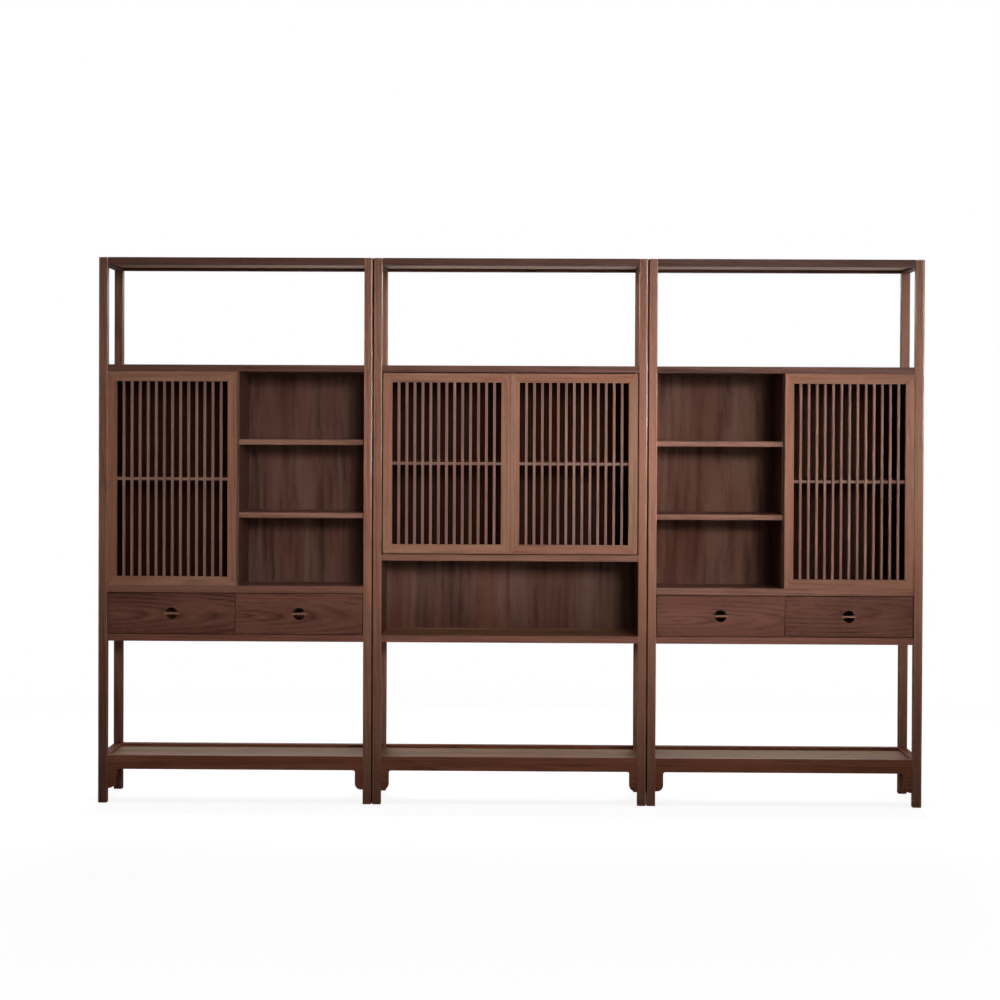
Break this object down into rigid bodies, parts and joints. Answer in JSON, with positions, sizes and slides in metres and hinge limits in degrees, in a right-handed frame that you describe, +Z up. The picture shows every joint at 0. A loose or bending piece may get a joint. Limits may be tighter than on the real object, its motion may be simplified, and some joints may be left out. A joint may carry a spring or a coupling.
{
  "type": "display cabinet",
  "caption": "Row of open-bay wooden display cabinets with slim posts, slatted sliding and swinging doors, open shelves, drawers with round finger pulls and curved aprons.",
  "frame": {"origin": "middle of the row's footprint, on the floor", "axes": "+X to the viewer's right along the row, +Y from front to back, +Z up"},
  "size_m": [3, 0.35, 1.99],
  "materials": {
    "frame_walnut": "oiled satin",
    "panel_walnut": "oiled satin",
    "door_walnut": "oiled satin",
    "slat_walnut": "oiled satin",
    "drawer_walnut": "oiled satin",
    "pull_walnut": "oiled satin",
    "lining_wood": "bare",
    "brass": "brushed",
    "dark_metal": "satin"
  },
  "bodies": {
    "carcass": {"centre_aprons": "frame_walnut", "centre_case_bottom_frame": "frame_walnut", "centre_case_top_frame": "frame_walnut", "centre_case_walls": "panel_walnut", "centre_cupboard_shelf": "panel_walnut", "centre_deck": "panel_walnut", "centre_door_catches": "dark_metal", "centre_frame_panels": "panel_walnut", "centre_low_shelf_frame": "frame_walnut", "centre_pivot_sockets": "brass", "centre_posts": "frame_walnut", "centre_top_frame": "frame_walnut", "left_aprons": "frame_walnut", "left_case_bottom_frame": "frame_walnut", "left_case_top_frame": "frame_walnut", "left_case_walls": "panel_walnut", "left_deck": "panel_walnut", "left_drawer_guides": "lining_wood", "left_frame_panels": "panel_walnut", "left_low_shelf_frame": "frame_walnut", "left_partition": "panel_walnut", "left_posts": "frame_walnut", "left_shelves": "panel_walnut", "left_top_frame": "frame_walnut", "right_aprons": "frame_walnut", "right_case_bottom_frame": "frame_walnut", "right_case_top_frame": "frame_walnut", "right_case_walls": "panel_walnut", "right_deck": "panel_walnut", "right_drawer_guides": "lining_wood", "right_frame_panels": "panel_walnut", "right_low_shelf_frame": "frame_walnut", "right_partition": "panel_walnut", "right_posts": "frame_walnut", "right_shelves": "panel_walnut", "right_top_frame": "frame_walnut"},
    "left_door": {"left_door_frame": "door_walnut", "left_door_slats": "slat_walnut"},
    "right_door": {"right_door_frame": "door_walnut", "right_door_slats": "slat_walnut"},
    "centre_left_door": {"centre_left_door_frame": "door_walnut", "centre_left_door_pins": "brass", "centre_left_door_slats": "slat_walnut"},
    "centre_right_door": {"centre_right_door_frame": "door_walnut", "centre_right_door_pins": "brass", "centre_right_door_slats": "slat_walnut"},
    "drawer_1": {"drawer_1_box": "lining_wood", "drawer_1_front": "drawer_walnut", "drawer_1_pull": "pull_walnut"},
    "drawer_2": {"drawer_2_box": "lining_wood", "drawer_2_front": "drawer_walnut", "drawer_2_pull": "pull_walnut"},
    "drawer_3": {"drawer_3_box": "lining_wood", "drawer_3_front": "drawer_walnut", "drawer_3_pull": "pull_walnut"},
    "drawer_4": {"drawer_4_box": "lining_wood", "drawer_4_front": "drawer_walnut", "drawer_4_pull": "pull_walnut"}
  },
  "joints": [
    {"name": "left_door_slide", "type": "slide", "parent": "carcass", "child": "left_door", "axis": [1, 0, 0], "range_m": [0, 0.462]},
    {"name": "right_door_slide", "type": "slide", "parent": "carcass", "child": "right_door", "axis": [-1, 0, 0], "range_m": [0, 0.462]},
    {"name": "centre_left_door_swing", "type": "hinge", "parent": "carcass", "child": "centre_left_door", "pos_m": [-0.453, -0.162, 1.244], "axis": [0, 0, -1], "range_deg": [0, 100]},
    {"name": "centre_right_door_swing", "type": "hinge", "parent": "carcass", "child": "centre_right_door", "pos_m": [0.453, -0.162, 1.244], "axis": [0, 0, 1], "range_deg": [0, 100]},
    {"name": "drawer_1_slide", "type": "slide", "parent": "carcass", "child": "drawer_1", "axis": [0, -1, 0], "range_m": [0, 0.24]},
    {"name": "drawer_2_slide", "type": "slide", "parent": "carcass", "child": "drawer_2", "axis": [0, -1, 0], "range_m": [0, 0.24]},
    {"name": "drawer_3_slide", "type": "slide", "parent": "carcass", "child": "drawer_3", "axis": [0, -1, 0], "range_m": [0, 0.24]},
    {"name": "drawer_4_slide", "type": "slide", "parent": "carcass", "child": "drawer_4", "axis": [0, -1, 0], "range_m": [0, 0.24]}
  ]
}
